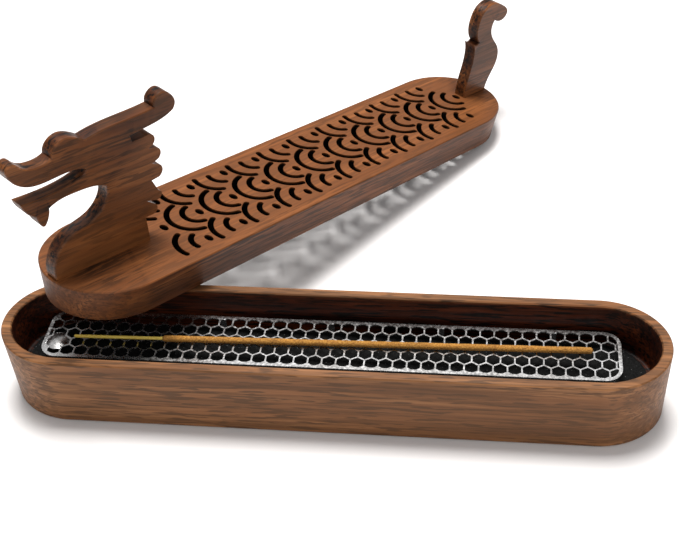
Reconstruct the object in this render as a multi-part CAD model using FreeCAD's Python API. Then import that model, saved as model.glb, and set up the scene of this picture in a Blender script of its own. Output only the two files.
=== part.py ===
import FreeCAD, Part
import math
import os

# Incense burner with a long wooden tray, a felt mat, a loose steel mesh,
# one incense stick and a pierced lid carrying a dragon head and a tail.
# Millimetres.  Origin: centre of the tray's underside.  +X runs along the
# tray, +Y to the back, +Z up.  The lid is shown taken off: its head end
# rests on the tray's rim and its tail end on the table behind.

Vec = FreeCAD.Vector

# Tray: a block with straight long sides and half-ellipse ends, hollowed.
TRAY_LENGTH = 268.0
TRAY_WIDTH = 50.0
TRAY_HEIGHT = 33.0
TRAY_END = 28.0
TRAY_WALL = 4.2
TRAY_FLOOR = 12.5
TRAY_FLOOR_ROUND = 1.2
TRAY_FOOT_BEVEL = 0.8
TRAY_RIM_BEVEL = 0.5

# Felt mat on the tray's floor.
MAT_LENGTH = 253.2
MAT_WIDTH = 38.6
MAT_END = 22.0
MAT_THICKNESS = 2.0

# Steel mesh: a framed sheet of hexagonal holes on ten bent-down legs.
MESH_LEFT = -120.0
MESH_RIGHT = 116.0
MESH_WIDTH = 27.4
MESH_CENTRE_Y = 5.0
MESH_CORNER = 7.0
MESH_TOP = 21.0
MESH_SHEET = 0.6
MESH_BORDER = 1.4
MESH_PITCH = 5.7
MESH_WIRE = 0.6
MESH_SMALLEST_HOLE = 1.5
MESH_LEG_PITCH = 45.6
MESH_LEG_WIDTH = 2.4
MESH_LEGS_PER_SIDE = 5
MESH_LEG_INSET = 1.5
PAD_CENTRE = (-114.0, 0.6)
PAD_RADIUS = 4.9
PAD_DOME_RADIUS = 14.0
PAD_DOME_RISE = 0.5

# Incense stick: a bamboo core, bare at one end, with a thick coating.
CORE_START = (-106.8, 1.6)
STICK_TURN = 1.18
CORE_RADIUS = 0.7
CORE_LENGTH = 209.5
BARE_LENGTH = 37.0
COATED_LENGTH = 174.5
COATING_RADIUS = 1.4
STICK_AXIS_HEIGHT = 22.7

# Lid: a thick board, slightly wider at the top than at the bottom.
LID_LENGTH = 268.0
LID_WIDTH = 50.0
LID_END = 28.0
LID_FLARE = 1.7
LID_THICKNESS = 15.0
LID_EDGE_BEVEL = 0.5
LID_RECESS_DEPTH = 2.0
LID_RECESS_MARGIN = 5.0

# Pierced pattern: three rows of motifs.  Each motif is a dot with two arcs
# around it that bulge toward the head.  The outer rows are half motifs.
MOTIF_PITCH = 19.35
ROW_SPACING = 17.2
FIRST_DOT_X = -79.0
MOTIFS_PER_ROW = 10
DOT_HALF_LENGTH = 1.6
DOT_HALF_WIDTH = 2.4
SLOT_WIDTH = 2.6
INNER_ARC_RADIUS = 6.35
INNER_ARC_SHIFT = 1.4
OUTER_ARC_RADIUS = 10.6
OUTER_ARC_SHIFT = 4.4
FULL_ARC_ENDS = (100.0, 260.0)
HALF_ARC_ENDS = (114.0, 197.0)

# Dragon head and tail: flat boards standing along the lid's middle.
BOARD_THICKNESS = 6.4
BOARD_BEVEL = 0.4
MANE_FRONT_X = -92.0
MANE_TOP = 49.5
DOWEL_RADIUS = 1.5
DOWEL_LENGTH = 14.0
HEAD_DOWEL_X = (-123.0, -99.0)
TAIL_DOWEL_X = (121.5, 129.5)

# Where the lid rests: the middle of its top face and its three turns.
LID_CENTRE = (-26.85, 103.63, 36.58)
LID_YAW = 52.94
LID_PITCH = 9.21
LID_ROLL = 2.69


def line(start, end):
    """Straight edge between two points."""
    return Part.makeLine(start, end)


def oval(length, width, end, height):
    """Closed level outline: two straight sides and two half-ellipse ends."""
    half = width / 2.0
    straight = length / 2.0 - end
    right = Part.Ellipse(
        Vec(straight + end, 0, height), Vec(straight, half, height), Vec(straight, 0, height))
    left = Part.Ellipse(
        Vec(-straight - end, 0, height), Vec(-straight, -half, height), Vec(-straight, 0, height))
    quarter = math.pi / 2.0
    edges = [
        line(Vec(-straight, -half, height), Vec(straight, -half, height)),
        Part.Arc(right, -quarter, quarter).toShape(),
        line(Vec(straight, half, height), Vec(-straight, half, height)),
        Part.Arc(left, -quarter, quarter).toShape(),
    ]
    return Part.Wire(edges)


def oval_block(length, width, end, bottom, top):
    """Upright solid over an oval outline."""
    face = Part.Face(oval(length, width, end, bottom))
    return face.extrude(Vec(0, 0, top - bottom))


def edges_at(shape, height):
    """Edges that lie wholly at one level."""
    found = []
    for edge in shape.Edges:
        box = edge.BoundBox
        if abs(box.ZMin - height) < 0.001 and abs(box.ZMax - height) < 0.001:
            found.append(edge)
    return found


def make_tray():
    """Routed wooden block with a bevelled foot and a softened rim."""
    tray = oval_block(TRAY_LENGTH, TRAY_WIDTH, TRAY_END, 0, TRAY_HEIGHT)
    hollow = oval_block(
        TRAY_LENGTH - 2 * TRAY_WALL,
        TRAY_WIDTH - 2 * TRAY_WALL,
        TRAY_END - TRAY_WALL,
        TRAY_FLOOR,
        TRAY_HEIGHT + 1)
    hollow = hollow.makeFillet(TRAY_FLOOR_ROUND, edges_at(hollow, TRAY_FLOOR))
    tray = tray.cut(hollow)
    tray = tray.makeChamfer(TRAY_FOOT_BEVEL, edges_at(tray, 0))
    return tray.makeChamfer(TRAY_RIM_BEVEL, edges_at(tray, TRAY_HEIGHT))


def make_mat():
    """Flat felt mat with half-ellipse ends."""
    return oval_block(MAT_LENGTH, MAT_WIDTH, MAT_END, TRAY_FLOOR, TRAY_FLOOR + MAT_THICKNESS)


def rounded_plate(left, right, half_width, corner, bottom, thickness):
    """Flat plate with four round corners, centred on Y = 0."""
    plate = Part.makeBox(
        right - left, 2 * half_width, thickness, Vec(left, -half_width, bottom))
    upright = []
    for edge in plate.Edges:
        if edge.BoundBox.ZLength > thickness / 2.0:
            upright.append(edge)
    return plate.makeFillet(corner, upright)


def hexagon(centre_x, centre_y, across_flats, height):
    """Hexagonal face with two of its sides running across X."""
    radius = across_flats / math.sqrt(3)
    points = []
    for corner in range(7):
        angle = math.radians(60 * corner + 30)
        points.append(Vec(
            centre_x + radius * math.cos(angle),
            centre_y + radius * math.sin(angle),
            height))
    return Part.Face(Part.makePolygon(points))


def mesh_holes(bottom):
    """Hexagonal holes that fill the field inside the mesh's border."""
    field = rounded_plate(
        MESH_LEFT + MESH_BORDER,
        MESH_RIGHT - MESH_BORDER,
        MESH_WIDTH / 2.0 - MESH_BORDER,
        MESH_CORNER - MESH_BORDER,
        bottom - 1,
        2)
    row_step = MESH_PITCH * math.sqrt(3) / 2.0
    across = MESH_PITCH - MESH_WIRE
    holes = []
    for row in range(-3, 4):
        shift = MESH_PITCH / 2.0 * (row % 2)
        columns = int((MESH_RIGHT - MESH_LEFT) / MESH_PITCH) + 2
        for column in range(columns):
            x = MESH_LEFT + column * MESH_PITCH + shift
            hole = hexagon(x, row * row_step, across, bottom)
            trimmed = hole.common(field)
            for face in trimmed.Faces:
                if face.Area > MESH_SMALLEST_HOLE:
                    holes.append(face)
    return holes


def make_mesh():
    """Framed hexagonal mesh with its legs and its small round pad."""
    bottom = MESH_TOP - MESH_SHEET
    plate = rounded_plate(
        MESH_LEFT, MESH_RIGHT, MESH_WIDTH / 2.0, MESH_CORNER, bottom, MESH_SHEET)
    holes = []
    for face in mesh_holes(bottom):
        prism = face.copy()
        prism.translate(Vec(0, 0, -1))
        holes.append(prism.extrude(Vec(0, 0, MESH_SHEET + 2)))
    mesh = plate.cut(Part.makeCompound(holes))

    leg_foot = TRAY_FLOOR + MAT_THICKNESS + 0.3
    middle = (MESH_LEFT + MESH_RIGHT) / 2.0
    extras = []
    for side in (-1, 1):
        y = side * (MESH_WIDTH / 2.0 - MESH_LEG_INSET)
        for place in range(MESH_LEGS_PER_SIDE):
            x = middle + (place - (MESH_LEGS_PER_SIDE - 1) / 2.0) * MESH_LEG_PITCH
            extras.append(Part.makeBox(
                MESH_LEG_WIDTH,
                MESH_SHEET,
                bottom + 0.3 - leg_foot,
                Vec(x - MESH_LEG_WIDTH / 2.0, y - MESH_SHEET / 2.0, leg_foot)))

    pad_x = PAD_CENTRE[0]
    pad_y = PAD_CENTRE[1] - MESH_CENTRE_Y
    disc = Part.makeCylinder(PAD_RADIUS, MESH_SHEET + PAD_DOME_RISE, Vec(pad_x, pad_y, bottom))
    dome_centre = Vec(pad_x, pad_y, MESH_TOP + PAD_DOME_RISE - PAD_DOME_RADIUS)
    extras.append(disc.common(Part.makeSphere(PAD_DOME_RADIUS, dome_centre)))

    mesh = mesh.fuse(extras).removeSplitter()
    mesh.translate(Vec(0, MESH_CENTRE_Y, 0))
    return mesh


def lay_stick(shape):
    """Turn a stick built along X from the origin into its place."""
    placed = shape.copy()
    placed.rotate(Vec(0, 0, 0), Vec(0, 0, 1), STICK_TURN)
    placed.translate(Vec(CORE_START[0], CORE_START[1], STICK_AXIS_HEIGHT))
    return placed


def make_core():
    """Round bamboo core with a softened bare end."""
    core = Part.makeCylinder(CORE_RADIUS, CORE_LENGTH, Vec(0, 0, 0), Vec(1, 0, 0))
    bare_end = []
    for edge in core.Edges:
        if edge.BoundBox.XMax < 0.001:
            bare_end.append(edge)
    return lay_stick(core.makeChamfer(0.2, bare_end))


def make_coating():
    """Incense coating around the core, rounded over at the far tip."""
    shoulder = 0.5
    start = BARE_LENGTH
    end = BARE_LENGTH + COATED_LENGTH
    bulge = math.sqrt(0.5) * COATING_RADIUS
    centre = end - COATING_RADIUS
    edges = [
        line(Vec(start, 0, CORE_RADIUS), Vec(start + shoulder, 0, COATING_RADIUS)),
        line(Vec(start + shoulder, 0, COATING_RADIUS), Vec(centre, 0, COATING_RADIUS)),
        Part.Arc(
            Vec(centre, 0, COATING_RADIUS),
            Vec(centre + bulge, 0, bulge),
            Vec(end, 0, 0)).toShape(),
        line(Vec(end, 0, 0), Vec(CORE_LENGTH, 0, 0)),
        line(Vec(CORE_LENGTH, 0, 0), Vec(CORE_LENGTH, 0, CORE_RADIUS)),
        line(Vec(CORE_LENGTH, 0, CORE_RADIUS), Vec(start, 0, CORE_RADIUS)),
    ]
    profile = Part.Face(Part.Wire(edges))
    return lay_stick(profile.revolve(Vec(0, 0, 0), Vec(1, 0, 0), 360))


def lid_outline(depth, inset):
    """Lid outline at a depth below the top face, drawn in by an inset."""
    grow = LID_FLARE * (1 - depth / LID_THICKNESS) - inset
    return oval(LID_LENGTH + 2 * grow, LID_WIDTH + 2 * grow, LID_END + grow, -depth)


def polar(centre_x, centre_y, radius, degrees):
    """Point on a circle lying in the plane of the lid's top."""
    angle = math.radians(degrees)
    return Vec(centre_x + radius * math.cos(angle), centre_y + radius * math.sin(angle), 0)


def arc_slot(centre_x, centre_y, radius, start, end):
    """Face of a curved slot with round ends."""
    half = SLOT_WIDTH / 2.0
    middle = (start + end) / 2.0
    turn = math.degrees(half / radius)
    outer = radius + half
    inner = radius - half
    edges = [
        Part.Arc(
            polar(centre_x, centre_y, outer, start),
            polar(centre_x, centre_y, outer, middle),
            polar(centre_x, centre_y, outer, end)).toShape(),
        Part.Arc(
            polar(centre_x, centre_y, outer, end),
            polar(centre_x, centre_y, radius, end + turn),
            polar(centre_x, centre_y, inner, end)).toShape(),
        Part.Arc(
            polar(centre_x, centre_y, inner, end),
            polar(centre_x, centre_y, inner, middle),
            polar(centre_x, centre_y, inner, start)).toShape(),
        Part.Arc(
            polar(centre_x, centre_y, inner, start),
            polar(centre_x, centre_y, radius, start - turn),
            polar(centre_x, centre_y, outer, start)).toShape(),
    ]
    return Part.Face(Part.Wire(edges))


def dot(centre_x, centre_y):
    """Face of one small oval hole, longer across the lid than along it."""
    ellipse = Part.Ellipse(
        Vec(centre_x, centre_y + DOT_HALF_WIDTH, 0),
        Vec(centre_x - DOT_HALF_LENGTH, centre_y, 0),
        Vec(centre_x, centre_y, 0))
    return Part.Face(Part.Wire(ellipse.toShape()))


def motif(centre_x, centre_y, arc_ends):
    """Faces of one motif: its dot and the two arcs around it."""
    start, end = arc_ends
    return [
        dot(centre_x, centre_y),
        arc_slot(centre_x - INNER_ARC_SHIFT, centre_y, INNER_ARC_RADIUS, start, end),
        arc_slot(centre_x - OUTER_ARC_SHIFT, centre_y, OUTER_ARC_RADIUS, start, end),
    ]


def pierced_pattern():
    """Faces of every hole in the lid."""
    near_ends = HALF_ARC_ENDS
    far_ends = (360 - HALF_ARC_ENDS[1], 360 - HALF_ARC_ENDS[0])
    faces = [dot(FIRST_DOT_X, 0)]
    for place in range(MOTIFS_PER_ROW):
        centre_x = FIRST_DOT_X + (place + 1) * MOTIF_PITCH
        between_x = centre_x - MOTIF_PITCH / 2.0
        faces += motif(centre_x, 0, FULL_ARC_ENDS)
        faces += motif(between_x, -ROW_SPACING, near_ends)
        faces += motif(between_x, ROW_SPACING, far_ends)
    return faces


def make_dowels(places):
    """Round pegs standing through the lid's top face."""
    dowels = []
    for x in places:
        dowels.append(Part.makeCylinder(
            DOWEL_RADIUS, DOWEL_LENGTH, Vec(x, 0, -DOWEL_LENGTH / 2.0)))
    return dowels


def make_lid():
    """Thick pierced board, bevelled edges, shallow recess below."""
    outlines = [
        lid_outline(LID_THICKNESS, LID_EDGE_BEVEL),
        lid_outline(LID_THICKNESS - LID_EDGE_BEVEL, 0),
        lid_outline(LID_EDGE_BEVEL, 0),
        lid_outline(0, LID_EDGE_BEVEL),
    ]
    board = Part.makeLoft(outlines, True, True)
    recess = oval_block(
        LID_LENGTH - 2 * LID_RECESS_MARGIN,
        LID_WIDTH - 2 * LID_RECESS_MARGIN,
        LID_END - LID_RECESS_MARGIN,
        -LID_THICKNESS - 1,
        -LID_THICKNESS + LID_RECESS_DEPTH)
    cutters = [recess]
    for face in pierced_pattern():
        lowered = face.copy()
        lowered.translate(Vec(0, 0, -LID_THICKNESS - 1))
        cutters.append(lowered.extrude(Vec(0, 0, LID_THICKNESS + 2)))
    cutters += make_dowels(HEAD_DOWEL_X + TAIL_DOWEL_X)
    return board.cut(Part.makeCompound(cutters))


def curve(*places):
    """Smooth edge in the upright middle plane through (x, z) places."""
    points = [Vec(x, 0, z) for x, z in places]
    if len(points) == 2:
        return line(points[0], points[1])
    spline = Part.BSplineCurve()
    spline.interpolate(points)
    return spline.toShape()


def lock(root, shoulder, tip, turn, end):
    """One lock of the mane: straight out, round the tip, straight back."""
    points = [Vec(x, 0, z) for x, z in (root, shoulder, tip, turn, end)]
    return [
        line(points[0], points[1]),
        Part.Arc(points[1], points[2], points[3]).toShape(),
        line(points[3], points[4]),
    ]


def head_outline():
    """Side view of the dragon's head, from the base of the neck round."""
    neck = curve((-134.3, 0), (-133.8, 9.9), (-129.1, 16.4), (-114.7, 21.7), (-110.1, 26.5), (-109.2, 33.7))
    throat = curve((-109.2, 33.7), (-115.4, 35.6), (-122.5, 36), (-130.5, 35.4), (-135.1, 33.6))
    beard = curve((-135.1, 33.6), (-135.7, 29.2), (-137.6, 26.7), (-139.7, 29), (-140.5, 32))
    chin = curve((-140.5, 32), (-144.4, 35), (-146.8, 39.6))
    lower_lip = curve((-146.8, 39.6), (-138, 39.4), (-128.6, 40), (-119.6, 42.2))
    mouth_end = curve((-119.6, 42.2), (-118.2, 43.8), (-120.1, 45.2))
    upper_lip = curve((-120.1, 45.2), (-131, 45.5), (-143.2, 46), (-148, 48.8), (-151.3, 53.7))
    nose = curve(
        (-151.3, 53.7), (-151, 56.4), (-148.4, 57.3), (-145.3, 54.8), (-138.5, 52.6), (-132.5, 53.9))
    brow = curve((-132.5, 53.9), (-131.1, 57.9), (-127.1, 60.1), (-122.2, 59.2), (-117.9, 56.8))
    horn_top = curve((-117.9, 56.8), (-110.5, 58.1), (-99.4, 58.8), (-85.9, 59.7))
    knob = curve((-85.9, 59.7), (-85.3, 63), (-81.9, 65), (-77.8, 63), (-75.4, 59), (-76.6, 55.7))
    horn_below = curve((-76.6, 55.7), (-82, 53.5), (-90, 52.2), (-97.4, 51.1))
    notch = curve((-97.4, 51.1), (-96.2, 48.4))
    crest = lock((-96.2, 48.4), (-89.8, 48.8), (-85.8, 46.4), (-86.9, 43.8), (-88.9, 42.7))
    mane = lock((-88.9, 42.7), (-85.6, 42.2), (-82.9, 39.6), (-84.1, 36.7), (-87.3, 35.4))
    mane += lock((-87.3, 35.4), (-84.6, 34.3), (-82, 30.9), (-83.7, 28.3), (-87.5, 27.8))
    mane += lock((-87.5, 27.8), (-84.2, 22.1), (-82.8, 19), (-85, 17.9), (-90.1, 19.2))
    mane += lock((-90.1, 19.2), (-86.6, 16.6), (-84.8, 13.9), (-86.7, 11.7), (-90.8, 11.7))
    nape = curve((-90.8, 11.7), (-88.7, 0))
    base = curve((-88.7, 0), (-134.3, 0))
    face = [neck, throat, beard, chin, lower_lip, mouth_end, upper_lip, nose, brow]
    return face + [horn_top, knob, horn_below, notch] + crest + mane + [nape, base]


def tail_outline():
    """Side view of the upturned tail, from the front of its base round."""
    front = curve((117.1, 0), (117.6, 8.8), (119.2, 16.6), (119.6, 23.2), (117.8, 29.5))
    barb = curve((117.8, 29.5), (120.2, 28.5), (122.2, 29.4))
    rise = curve((122.2, 29.4), (119.4, 34.3), (119.6, 40.9), (122.8, 46.4), (127.8, 48.6), (134, 47.5))
    hook = curve((134, 47.5), (139.6, 44.6), (142.8, 40.9), (140.7, 37.8), (136.6, 37.3), (132.9, 38.9))
    back = curve(
        (132.9, 38.9), (131.6, 33.8), (134.9, 27.8), (140.5, 21), (141.2, 15), (137, 6.6), (134.6, 0))
    base = curve((134.6, 0), (117.1, 0))
    return [front, barb, rise, hook, back, base]


def in_mane(box):
    """Whether an edge of the head belongs to the mane or the nape."""
    return MANE_FRONT_X < box.XMax < 0 and box.ZMax < MANE_TOP


def carved_board(outline, dowel_places):
    """Board cut to an outline, bevelled except at the mane, with peg holes."""
    face = Part.Face(Part.Wire(outline))
    board = face.extrude(Vec(0, BOARD_THICKNESS, 0))
    board.translate(Vec(0, -BOARD_THICKNESS / 2.0, 0))
    rims = []
    for edge in board.Edges:
        box = edge.BoundBox
        if box.YLength < 0.001 and box.ZMax > 0.5 and not in_mane(box):
            rims.append(edge)
    board = board.makeChamfer(BOARD_BEVEL, rims)
    return board.cut(Part.makeCompound(make_dowels(dowel_places)))


def lay_lid(shape):
    """Move a shape from the lid's own frame to where the lid rests."""
    placed = shape.copy()
    turn = FreeCAD.Rotation(LID_YAW, LID_PITCH, LID_ROLL)
    placed.Placement = FreeCAD.Placement(Vec(*LID_CENTRE), turn)
    return placed


def main():
    """Write one STEP file for each piece."""
    head_dowels = make_dowels(HEAD_DOWEL_X)
    tail_dowels = make_dowels(TAIL_DOWEL_X)
    pieces = {
        "tray": make_tray(),
        "fireproof_mat": make_mat(),
        "mesh_grid": make_mesh(),
        "incense_core": make_core(),
        "incense_coating": make_coating(),
        "lid": lay_lid(make_lid()),
        "dragon_head": lay_lid(carved_board(head_outline(), HEAD_DOWEL_X)),
        "dragon_tail": lay_lid(carved_board(tail_outline(), TAIL_DOWEL_X)),
        "head_dowel_front": lay_lid(head_dowels[0]),
        "head_dowel_rear": lay_lid(head_dowels[1]),
        "tail_dowel_front": lay_lid(tail_dowels[0]),
        "tail_dowel_rear": lay_lid(tail_dowels[1]),
    }
    os.makedirs("parts", exist_ok=True)
    for name, shape in pieces.items():
        shape.exportStep("parts/" + name + ".step")


main()
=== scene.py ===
import bmesh
import bpy
import math
import random
from mathutils import Matrix, Vector


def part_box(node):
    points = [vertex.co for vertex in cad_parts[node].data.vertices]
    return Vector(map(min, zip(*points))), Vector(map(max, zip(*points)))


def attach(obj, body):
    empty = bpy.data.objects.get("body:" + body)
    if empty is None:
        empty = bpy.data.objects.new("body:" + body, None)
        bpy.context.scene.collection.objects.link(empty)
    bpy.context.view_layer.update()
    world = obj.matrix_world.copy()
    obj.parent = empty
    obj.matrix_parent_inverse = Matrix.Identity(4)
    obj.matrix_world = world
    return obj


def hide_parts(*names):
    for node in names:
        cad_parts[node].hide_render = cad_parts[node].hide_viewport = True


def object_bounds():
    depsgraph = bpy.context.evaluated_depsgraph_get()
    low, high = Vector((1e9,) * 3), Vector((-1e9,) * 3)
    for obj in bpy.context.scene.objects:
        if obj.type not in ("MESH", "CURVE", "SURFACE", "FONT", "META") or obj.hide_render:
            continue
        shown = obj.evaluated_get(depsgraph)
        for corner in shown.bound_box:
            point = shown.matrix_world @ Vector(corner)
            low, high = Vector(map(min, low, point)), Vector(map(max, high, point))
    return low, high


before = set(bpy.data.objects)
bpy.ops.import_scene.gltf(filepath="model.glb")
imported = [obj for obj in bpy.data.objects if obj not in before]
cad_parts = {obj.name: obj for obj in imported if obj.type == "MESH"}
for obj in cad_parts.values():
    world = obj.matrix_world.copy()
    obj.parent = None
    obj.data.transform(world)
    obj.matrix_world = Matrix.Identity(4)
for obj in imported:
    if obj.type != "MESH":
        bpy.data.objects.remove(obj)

cad_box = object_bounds()
MM = 0.001

# Camera: the photograph's viewpoint, in metres and radians.
CAMERA_PLACE = (0.061547, -0.326047, 0.350858)
CAMERA_YAW = -0.13819
CAMERA_PITCH = 0.77381
CAMERA_ROLL = -0.05406
CAMERA_LENS = 61.41
CAMERA_SHIFT = (-0.04492, 0.10457)
SENSOR_WIDTH = 36.0

# Lights: offset from the object's middle, height, size, power and colour.
KEY_OFFSET = (-0.05, 0.22)
KEY_HEIGHT = 1.25
KEY_SIZE = 0.45
KEY_POWER = 25.0
KEY_COLOUR = (1.0, 0.985, 0.96)
FILL_OFFSET = (0.5, -1.0)
FILL_HEIGHT = 0.8
FILL_SIZE = 0.9
FILL_POWER = 3.0
FILL_COLOUR = (1.0, 0.99, 0.98)
WORLD_COLOUR = (1.0, 0.99, 0.985)
WORLD_STRENGTH = 0.38
FLOOR_REACH = 4.0

# Colours of the woods, from dark pore to light ray.
LID_WOOD = ((0.022, 0.004, 0.0015), (0.072, 0.020, 0.0045), (0.180, 0.062, 0.018))
TRAY_WOOD = ((0.045, 0.013, 0.004), (0.135, 0.050, 0.016), (0.270, 0.122, 0.048))
BOARD_WOOD = ((0.024, 0.005, 0.0015), (0.074, 0.021, 0.005), (0.175, 0.062, 0.018))
# Laser char and painted shade on the walls of the lid's slots.
CHAR_AND_SHADE = (0.004, 0.0018, 0.0012)
# Painted shade multiplied onto the tray's inner walls.
PAINTED_SHADE_TONE = (0.36, 0.17, 0.10)

# The tray's outline: straight half-length, end length and half-width. The
# hollow reaches a share of the way to it; painted shade darkens its walls, fading in just below the rim.
TRAY_STRAIGHT = 0.106
TRAY_END = 0.028
TRAY_HALF_WIDTH = 0.025
TRAY_HOLLOW_SHARE = 0.87
TRAY_HEIGHT = 33.0 * MM
SHADE_RIM_FADE = 1.5 * MM

# Scale of each layer of the grain: along it, then across it both ways, per metre.
FIGURE_STRETCH = (6.0, 90.0, 90.0)
STREAK_STRETCH = (14.0, 560.0, 560.0)
PORE_STRETCH = (75.0, 850.0, 850.0)
BLOTCH_STRETCH = (9.0, 26.0, 26.0)
BAMBOO_STRETCH = (60.0, 2600.0, 2600.0)

# The stick's turn about the upright.
STICK_TURN = (0.0, 0.0, math.radians(1.2))

# Half-length and half-width of the field that holds every pierced slot, and
# the depths below the lid's top where its walls start to darken and are black, from laser char and
# painted shade.
SLOT_FIELD = (0.119, 0.0222)
CHAR_AND_SHADE_STARTS = 0.15 * MM
CHAR_AND_SHADE_FULL = 0.9 * MM

# Felt mat: end length, how far round each end the outline runs, its divisions,
# the width and depth of the rounded rim, and the unevenness of the top.
MAT_END = 22 * MM
MAT_SWEEP = math.radians(84)
MAT_END_STEPS = 24
MAT_RUN_STEPS = 120
MAT_ROWS = 28
MAT_RIM = 0.8 * MM
MAT_RIM_DROP = 0.45 * MM
MAT_FUZZ = 0.10 * MM

# Incense coating: divisions, and the length of the shoulder at its start.
COATING_RINGS = 360
COATING_SIDES = 22
COATING_SHOULDER_RINGS = 6
COATING_SHOULDER = 1.2 * MM
COATING_TIP_RADIUS = 0.12 * MM

# Way from the front peg to the middle of the lid.
FRONT_PEG_TO_MIDDLE = 0.123


def new_material(name):
    """An empty node material with its shader and output joined."""
    material = bpy.data.materials.new(name)
    material.use_nodes = True
    tree = material.node_tree
    tree.nodes.clear()
    output = tree.nodes.new("ShaderNodeOutputMaterial")
    shader = tree.nodes.new("ShaderNodeBsdfPrincipled")
    tree.links.new(shader.outputs["BSDF"], output.inputs["Surface"])
    return material, tree, shader


def add(tree, kind, **values):
    """A node with its properties or input sockets set by name."""
    node = tree.nodes.new(kind)
    for key, value in values.items():
        if hasattr(node, key):
            setattr(node, key, value)
        else:
            node.inputs[key].default_value = value
    return node


def feed(tree, value, socket):
    """Set a socket to a number or a colour, or link it to another socket."""
    if isinstance(value, (int, float)):
        socket.default_value = value
    elif isinstance(value, tuple):
        socket.default_value = (*value, 1.0)
    else:
        tree.links.new(value, socket)


def calculate(tree, operation, *values):
    """Output of a math node over sockets or numbers."""
    node = add(tree, "ShaderNodeMath", operation=operation)
    for value, socket in zip(values, node.inputs):
        feed(tree, value, socket)
    return node.outputs[0]


def object_space(tree):
    """Object coordinates, which are the frame's own."""
    return tree.nodes.new("ShaderNodeTexCoord").outputs["Object"]


def split(tree, space):
    """A vector's three separate numbers."""
    parts = tree.nodes.new("ShaderNodeSeparateXYZ")
    tree.links.new(space, parts.inputs["Vector"])
    return parts.outputs


def noise(tree, space, **values):
    """Noise over a space."""
    node = add(tree, "ShaderNodeTexNoise", **values)
    tree.links.new(space, node.inputs["Vector"])
    return node.outputs["Fac"]


def ramp(tree, source, stops):
    """A colour ramp over (place, colour) stops."""
    node = tree.nodes.new("ShaderNodeValToRGB")
    elements = node.color_ramp.elements
    while len(elements) < len(stops):
        elements.new(0.5)
    for element, (place, colour) in zip(elements, stops):
        element.position = place
        element.color = (*colour, 1.0)
    tree.links.new(source, node.inputs["Fac"])
    return node.outputs["Color"]


def fade(tree, source, start, end):
    """A number that goes from 0 at start to 1 at end."""
    node = tree.nodes.new("ShaderNodeMapRange")
    node.inputs["From Min"].default_value = start
    node.inputs["From Max"].default_value = end
    tree.links.new(source, node.inputs["Value"])
    return node.outputs[0]


def grey(value):
    """A neutral colour."""
    return (value, value, value)


def mix(tree, blend, factor, first, second):
    """A colour mix over sockets, numbers or colours."""
    node = add(tree, "ShaderNodeMix", data_type="RGBA", blend_type=blend)
    for value, socket in ((factor, 0), (first, 6), (second, 7)):
        feed(tree, value, node.inputs[socket])
    return node.outputs[2]


def bump(tree, height, strength, distance, under=None):
    """Normal of a bump, which adds to the one under it."""
    node = add(tree, "ShaderNodeBump", Strength=strength, Distance=distance)
    tree.links.new(height, node.inputs["Height"])
    if under is not None:
        tree.links.new(under, node.inputs["Normal"])
    return node.outputs["Normal"]


def local_space(tree, turn, place=(0.0, 0.0, 0.0)):
    """Object coordinates as a turned piece at a place sees them."""
    local = add(tree, "ShaderNodeMapping", vector_type="TEXTURE")
    local.inputs["Location"].default_value = place
    local.inputs["Rotation"].default_value = turn
    tree.links.new(object_space(tree), local.inputs["Vector"])
    return local.outputs["Vector"]


def grain_space(tree, turn, stretch):
    """Object coordinates turned so that X runs along the grain, then scaled."""
    squeeze = tree.nodes.new("ShaderNodeMapping")
    squeeze.inputs["Scale"].default_value = stretch
    tree.links.new(local_space(tree, turn), squeeze.inputs["Vector"])
    return squeeze.outputs["Vector"]


def scorched_and_shaded(tree, colour, place, turn):
    """Darken the walls of the pierced slots, which lie inside the lid's outline, with laser char and
    painted shade.
    """
    parts = split(tree, local_space(tree, turn, place))
    in_length, in_width = [
        calculate(tree, "LESS_THAN", calculate(tree, "ABSOLUTE", parts[axis]), limit)
        for axis, limit in zip(("X", "Y"), SLOT_FIELD)]
    inside = calculate(tree, "MULTIPLY", in_length, in_width)
    depth = fade(tree, parts["Z"], -CHAR_AND_SHADE_STARTS, -CHAR_AND_SHADE_FULL)
    return mix(tree, "MIX", calculate(tree, "MULTIPLY", inside, depth), colour, CHAR_AND_SHADE)


def painted_inner_shade(tree, colour):
    """Painted shade: darken the colour of the tray's inner walls, fading in just below the rim."""
    parts = split(tree, object_space(tree))
    past = calculate(tree, "SUBTRACT", calculate(tree, "ABSOLUTE", parts["X"]), TRAY_STRAIGHT)
    place = tree.nodes.new("ShaderNodeCombineXYZ")
    along = calculate(tree, "DIVIDE", calculate(tree, "MAXIMUM", past, 0.0), TRAY_END)
    across = calculate(tree, "DIVIDE", parts["Y"], TRAY_HALF_WIDTH)
    tree.links.new(along, place.inputs["X"])
    tree.links.new(across, place.inputs["Y"])
    reach = add(tree, "ShaderNodeVectorMath", operation="LENGTH")
    tree.links.new(place.outputs["Vector"], reach.inputs[0])
    inner = calculate(tree, "LESS_THAN", reach.outputs["Value"], TRAY_HOLLOW_SHARE)
    below = fade(tree, parts["Z"], TRAY_HEIGHT, TRAY_HEIGHT - SHADE_RIM_FADE)
    return mix(tree, "MULTIPLY", calculate(tree, "MULTIPLY", inner, below), colour, PAINTED_SHADE_TONE)


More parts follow.
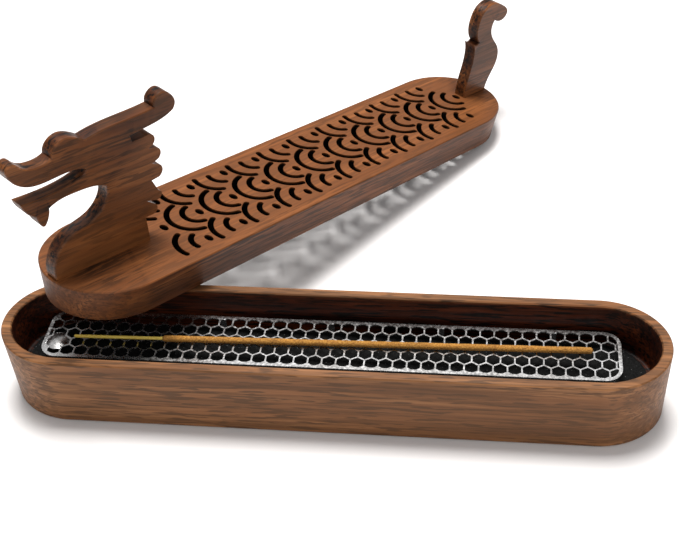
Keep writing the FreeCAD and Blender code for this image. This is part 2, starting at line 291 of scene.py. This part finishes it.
def wood(name, colours, turn=(0, 0, 0), gloss=0.42, seed=0.0, slots_at=None, hollow=False):
    """Oiled wood: long figure, fine pores, soft blotches and a painted highlight along every edge."""
    dark, middle, light = colours
    material, tree, shader = new_material(name)
    figure, fine, pores, blotch = [
        noise(tree, grain_space(tree, turn, stretch), noise_dimensions="4D", W=seed, Scale=1.0, **values)
        for stretch, values in (
            (FIGURE_STRETCH, {"Detail": 5.0, "Roughness": 0.6, "Distortion": 0.6}),
            (STREAK_STRETCH, {"Detail": 4.0, "Roughness": 0.65}),
            (PORE_STRETCH, {"Detail": 2.0, "Roughness": 0.5}),
            (BLOTCH_STRETCH, {"Detail": 2.0}))]
    colour = ramp(tree, figure, [(0.34, dark), (0.50, middle), (0.64, light)])
    for share, source, stops in (
            (0.85, fine, [(0.42, grey(0.34)), (0.58, grey(1.30))]),
            (0.95, pores, [(0.42, grey(0.03)), (0.48, grey(1.0))]),
            (0.80, blotch, [(0.3, grey(0.80)), (0.7, grey(1.15))])):
        colour = mix(tree, "MULTIPLY", share, colour, ramp(tree, source, stops))
    # Painted highlight: sharp edge lines lightened toward a pale copy of the light colour.
    pointed = tree.nodes.new("ShaderNodeNewGeometry").outputs["Pointiness"]
    edge_highlight = ramp(tree, pointed, [(0.52, grey(0.0)), (0.60, grey(0.45))])
    pale = tuple(min(1.0, value * 1.5) for value in light)
    colour = mix(tree, "MIX", edge_highlight, colour, pale)
    # Laser char and painted shade on the walls of the lid's slots.
    if slots_at:
        colour = scorched_and_shaded(tree, colour, slots_at, turn)
    # Painted shade on the tray's inner walls.
    if hollow:
        colour = painted_inner_shade(tree, colour)
    tree.links.new(colour, shader.inputs["Base Color"])
    rough = ramp(tree, fine, [(0.3, grey(gloss + 0.16)), (0.7, grey(gloss))])
    tree.links.new(rough, shader.inputs["Roughness"])
    pitted = bump(tree, pores, 0.35, 0.00025)
    tree.links.new(bump(tree, fine, 0.25, 0.0003, pitted), shader.inputs["Normal"])
    shader.inputs["Specular IOR Level"].default_value = 0.22
    shader.inputs["Coat Weight"].default_value = 0.02
    shader.inputs["Coat Roughness"].default_value = 0.3
    return material


def steel():
    """Bright bare steel with faint brushing and small stains."""
    material, tree, shader = new_material("bright_steel")
    space = object_space(tree)
    brushing = noise(tree, space, Scale=900.0, Detail=3.0)
    stain = noise(tree, space, Scale=60.0, Detail=4.0)
    tint = ramp(tree, stain, [(0.35, (0.62, 0.61, 0.60)), (0.65, (0.86, 0.86, 0.87))])
    tree.links.new(tint, shader.inputs["Base Color"])
    rough = ramp(tree, brushing, [(0.3, grey(0.18)), (0.7, grey(0.34))])
    tree.links.new(rough, shader.inputs["Roughness"])
    shader.inputs["Metallic"].default_value = 1.0
    tree.links.new(bump(tree, brushing, 0.15, 0.0001), shader.inputs["Normal"])
    return material


def felt():
    """Black mineral felt: fibre mottling and scattered painted glints."""
    material, tree, shader = new_material("black_felt")
    space = object_space(tree)
    fibre = noise(tree, space, Scale=1400.0, Detail=4.0, Roughness=0.7)
    # Painted glints: bright specks added to the felt's base colour.
    spark = add(tree, "ShaderNodeTexVoronoi", Scale=620.0)
    tree.links.new(space, spark.inputs["Vector"])
    base = ramp(tree, fibre, [(0.3, grey(0.003)), (0.7, grey(0.014))])
    glint = ramp(tree, spark.outputs["Distance"], [(0.03, grey(0.45)), (0.10, grey(0.0))])
    tree.links.new(mix(tree, "ADD", 0.5, base, glint), shader.inputs["Base Color"])
    shader.inputs["Roughness"].default_value = 0.9
    shader.inputs["Specular IOR Level"].default_value = 0.05
    tree.links.new(bump(tree, fibre, 0.8, 0.0004), shader.inputs["Normal"])
    return material


def bamboo():
    """Smooth yellow bamboo with long fibres."""
    material, tree, shader = new_material("bamboo")
    fibre = noise(tree, grain_space(tree, STICK_TURN, BAMBOO_STRETCH), Scale=1.0, Detail=3.0)
    base = ramp(tree, fibre, [(0.3, (0.80, 0.50, 0.05)), (0.65, (1.0, 0.76, 0.16))])
    tree.links.new(base, shader.inputs["Base Color"])
    shader.inputs["Roughness"].default_value = 0.45
    tree.links.new(bump(tree, fibre, 0.3, 0.0001), shader.inputs["Normal"])
    return material


def paste():
    """Dry golden-brown incense powder pressed round the core."""
    material, tree, shader = new_material("incense_paste")
    space = object_space(tree)
    grit = noise(tree, space, Scale=1700.0, Detail=4.0, Roughness=0.75)
    patch = noise(tree, space, Scale=160.0, Detail=2.0)
    base = ramp(tree, grit, [
        (0.30, (0.12, 0.045, 0.006)), (0.50, (0.36, 0.155, 0.022)), (0.72, (0.62, 0.34, 0.075))])
    shade = ramp(tree, patch, [(0.3, grey(0.78)), (0.7, grey(1.12))])
    tree.links.new(mix(tree, "MULTIPLY", 0.9, base, shade), shader.inputs["Base Color"])
    shader.inputs["Roughness"].default_value = 0.92
    tree.links.new(bump(tree, grit, 0.9, 0.0003), shader.inputs["Normal"])
    return material


def paint(node, material):
    """Give every slot of a CAD node one material."""
    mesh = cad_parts[node].data
    mesh.materials.clear()
    mesh.materials.append(material)


def peg_centre(node):
    """Middle of a peg; each peg's middle lies on the lid's top face."""
    low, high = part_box(node)
    return (low + high) / 2.0


def lid_turn():
    """The lid's turn: X runs from the front peg to the rear one, and Z along a peg."""
    front = peg_centre("head_dowel_front")
    along = (peg_centre("head_dowel_rear") - front).normalized()
    ends = [Vector(), Vector()]
    counts = [0, 0]
    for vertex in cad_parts["head_dowel_front"].data.vertices:
        end = 1 if vertex.co.z > front.z else 0
        ends[end] += vertex.co
        counts[end] += 1
    upward = (ends[1] / counts[1] - ends[0] / counts[0]).normalized()
    across = upward.cross(along).normalized()
    upward = along.cross(across)
    return Matrix((along, across, upward)).transposed().to_euler("XYZ")


def lid_middle():
    """Middle of the lid's top face, a known way from the front peg."""
    front = peg_centre("head_dowel_front")
    along = (peg_centre("head_dowel_rear") - front).normalized()
    return front + along * FRONT_PEG_TO_MIDDLE


def smooth_piece(name, made, material):
    """An object with smooth faces from a finished mesh, which is freed."""
    mesh = bpy.data.meshes.new(name)
    made.to_mesh(mesh)
    made.free()
    for face in mesh.polygons:
        face.use_smooth = True
    mesh.materials.append(material)
    piece = bpy.data.objects.new(name, mesh)
    bpy.context.scene.collection.objects.link(piece)
    return piece


def mat_stations(half_length, half_width):
    """Places along the mat with the half-width at each, closer together at its round ends."""
    straight = half_length - MAT_END
    turns = [MAT_SWEEP * k / MAT_END_STEPS for k in range(1, MAT_END_STEPS + 1)]
    right = [
        (straight + MAT_END * math.sin(turn) / math.sin(MAT_SWEEP), half_width * math.cos(turn))
        for turn in turns]
    run = [
        (-straight + 2 * straight * k / MAT_RUN_STEPS, half_width)
        for k in range(MAT_RUN_STEPS + 1)]
    return [(-x, reach) for x, reach in reversed(right)] + run + right


def build_mat():
    """Felt mat: a slab with a softly uneven top and a rounded rim."""
    low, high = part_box("fireproof_mat")
    half_length = (high.x - low.x) / 2.0
    half_width = (high.y - low.y) / 2.0
    middle = (low + high) / 2.0
    stations = mat_stations(half_length, half_width)
    columns = len(stations) - 1
    rows = MAT_ROWS
    random.seed(7)
    made = bmesh.new()
    layers = []
    for is_top in (False, True):
        grid = []
        for x, reach in stations:
            line = []
            for j in range(rows + 1):
                y = reach * (-1 + 2 * j / rows)
                rim = min(1.0, (reach - abs(y)) / MAT_RIM, (half_length - abs(x)) / MAT_RIM)
                drop = MAT_RIM_DROP * (1 - max(rim, 0.0)) ** 2
                top = high.z - drop - random.random() * MAT_FUZZ
                z = top if is_top else low.z
                line.append(made.verts.new((middle.x + x, middle.y + y, z)))
            grid.append(line)
        layers.append(grid)
    bottom, top = layers
    for i in range(columns):
        for j in range(rows):
            made.faces.new((top[i][j], top[i + 1][j], top[i + 1][j + 1], top[i][j + 1]))
            made.faces.new((bottom[i][j + 1], bottom[i + 1][j + 1], bottom[i + 1][j], bottom[i][j]))
        made.faces.new((bottom[i][0], bottom[i + 1][0], top[i + 1][0], top[i][0]))
        made.faces.new((top[i][rows], top[i + 1][rows], bottom[i + 1][rows], bottom[i][rows]))
    for j in range(rows):
        made.faces.new((bottom[0][j + 1], bottom[0][j], top[0][j], top[0][j + 1]))
        made.faces.new((top[-1][j + 1], top[-1][j], bottom[-1][j], bottom[-1][j + 1]))
    mat = smooth_piece("felt_mat", made, felt())
    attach(mat, "tray_body")
    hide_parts("fireproof_mat")


def coating_reach(far, length, radius):
    """Radius of the coating at a way from its start: a slight swell, and a round tip."""
    swell = 0.965 + 0.02 * math.sin(far * 310.0) + 0.012 * math.sin(far * 1170.0 + 1.0)
    tip = 1.0
    if far > length - radius:
        tip = max(0.0, 1.0 - ((far - (length - radius)) / radius) ** 2)
    return max(radius * swell * math.sqrt(tip), COATING_TIP_RADIUS)


def build_coating():
    """Incense coating: a rough, slightly uneven tube with a rounded tip."""
    low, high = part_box("incense_coating")
    core_low, core_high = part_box("incense_core")
    radius = (high.z - low.z) / 2.0
    core_radius = (core_high.z - core_low.z) / 2.0
    start = Vector((low.x, low.y + radius, (low.z + high.z) / 2.0))
    tip = Vector((high.x, high.y - radius, (low.z + high.z) / 2.0))
    along = (tip - start).normalized()
    side = along.cross(Vector((0, 0, 1))).normalized()
    up = side.cross(along)
    length = (tip - start).length
    random.seed(11)
    made = bmesh.new()
    loops = []
    for i in range(COATING_RINGS + 1):
        far = length * i / COATING_RINGS
        reach = coating_reach(far, length, radius)
        if i < COATING_SHOULDER_RINGS:
            shoulder = min(1.0, math.sqrt(max(far, 0.0) / COATING_SHOULDER))
            reach = core_radius + (reach - core_radius) * shoulder
        centre = start + along * far
        loop = []
        for k in range(COATING_SIDES):
            angle = 2 * math.pi * k / COATING_SIDES
            rough = min(1.0, 0.985 + 0.03 * (random.random() - 0.5))
            outward = side * math.cos(angle) + up * math.sin(angle)
            loop.append(made.verts.new(centre + outward * reach * rough))
        loops.append(loop)
    for i in range(COATING_RINGS):
        for k in range(COATING_SIDES):
            after = (k + 1) % COATING_SIDES
            made.faces.new((loops[i][k], loops[i][after], loops[i + 1][after], loops[i + 1][k]))
    made.faces.new(list(reversed(loops[0])))
    made.faces.new(loops[-1])
    bmesh.ops.recalc_face_normals(made, faces=made.faces)
    skin = smooth_piece("coating_skin", made, paste())
    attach(skin, "stick_body")
    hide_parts("incense_coating")


def build_floor():
    """Wide pale table top under the object."""
    mesh = bpy.data.meshes.new("floor")
    reach = FLOOR_REACH
    corners = [(-reach, -reach, 0), (reach, -reach, 0), (reach, reach, 0), (-reach, reach, 0)]
    mesh.from_pydata(corners, [], [(0, 1, 2, 3)])
    floor = bpy.data.objects.new("floor", mesh)
    bpy.context.scene.collection.objects.link(floor)
    material, tree, shader = new_material("table_white")
    patches = noise(tree, object_space(tree), Scale=3.0, Detail=2.0)
    tint = ramp(tree, patches, [(0.3, (0.80, 0.785, 0.785)), (0.7, (0.84, 0.825, 0.83))])
    tree.links.new(tint, shader.inputs["Base Color"])
    shader.inputs["Roughness"].default_value = 0.75
    mesh.materials.append(material)


def area_light(name, place, aim, size, power, colour):
    """A square soft light that faces a point."""
    data = bpy.data.lights.new(name, "AREA")
    data.size = size
    data.energy = power
    data.color = colour
    lamp = bpy.data.objects.new(name, data)
    lamp.location = place
    lamp.rotation_euler = (Vector(aim) - Vector(place)).to_track_quat("-Z", "Y").to_euler()
    bpy.context.scene.collection.objects.link(lamp)


def build_lights():
    """High soft key slightly behind, a weak fill in front, pale surroundings."""
    middle = (cad_box[0] + cad_box[1]) / 2.0
    for name, offset, height, size, power, colour in (
            ("key", KEY_OFFSET, KEY_HEIGHT, KEY_SIZE, KEY_POWER, KEY_COLOUR),
            ("fill", FILL_OFFSET, FILL_HEIGHT, FILL_SIZE, FILL_POWER, FILL_COLOUR)):
        place = (middle.x + offset[0], middle.y + offset[1], height)
        area_light(name, place, middle, size, power, colour)
    world = bpy.data.worlds.new("studio")
    world.use_nodes = True
    background = world.node_tree.nodes["Background"]
    background.inputs["Color"].default_value = (*WORLD_COLOUR, 1.0)
    background.inputs["Strength"].default_value = WORLD_STRENGTH
    bpy.context.scene.world = world


def build_camera():
    """Camera at the photograph's angle."""
    yaw, pitch, roll = CAMERA_YAW, CAMERA_PITCH, CAMERA_ROLL
    forward = Vector((
        math.sin(yaw) * math.cos(pitch), math.cos(yaw) * math.cos(pitch), -math.sin(pitch)))
    level = Vector((math.cos(yaw), -math.sin(yaw), 0.0))
    above = level.cross(forward)
    right = math.cos(roll) * level + math.sin(roll) * above
    up = -math.sin(roll) * level + math.cos(roll) * above
    data = bpy.data.cameras.new("camera")
    data.sensor_fit = "HORIZONTAL"
    data.sensor_width = SENSOR_WIDTH
    data.lens = CAMERA_LENS
    data.shift_x, data.shift_y = CAMERA_SHIFT
    data.clip_start = 0.01
    camera = bpy.data.objects.new("camera", data)
    turn = Matrix((right, up, -forward)).transposed().to_4x4()
    camera.matrix_world = Matrix.Translation(CAMERA_PLACE) @ turn
    bpy.context.scene.collection.objects.link(camera)
    bpy.context.scene.camera = camera


def main():
    """Dress the frame, add the soft pieces, and set the studio."""
    along_lid = lid_turn()
    paint("tray", wood("tray_wood", TRAY_WOOD, seed=3.0, hollow=True))
    paint("mesh_grid", steel())
    paint("incense_core", bamboo())
    lid_wood = wood("lid_wood", LID_WOOD, along_lid, gloss=0.38, seed=5.0, slots_at=lid_middle())
    board_wood = wood("board_wood", BOARD_WOOD, along_lid, gloss=0.34, seed=9.0)
    paint("lid", lid_wood)
    paint("dragon_head", board_wood)
    paint("dragon_tail", board_wood)
    for name in ("head_dowel_front", "head_dowel_rear", "tail_dowel_front", "tail_dowel_rear"):
        paint(name, board_wood)
    build_mat()
    build_coating()
    build_floor()
    build_lights()
    build_camera()
    bpy.context.scene.view_settings.view_transform = "Standard"


main()
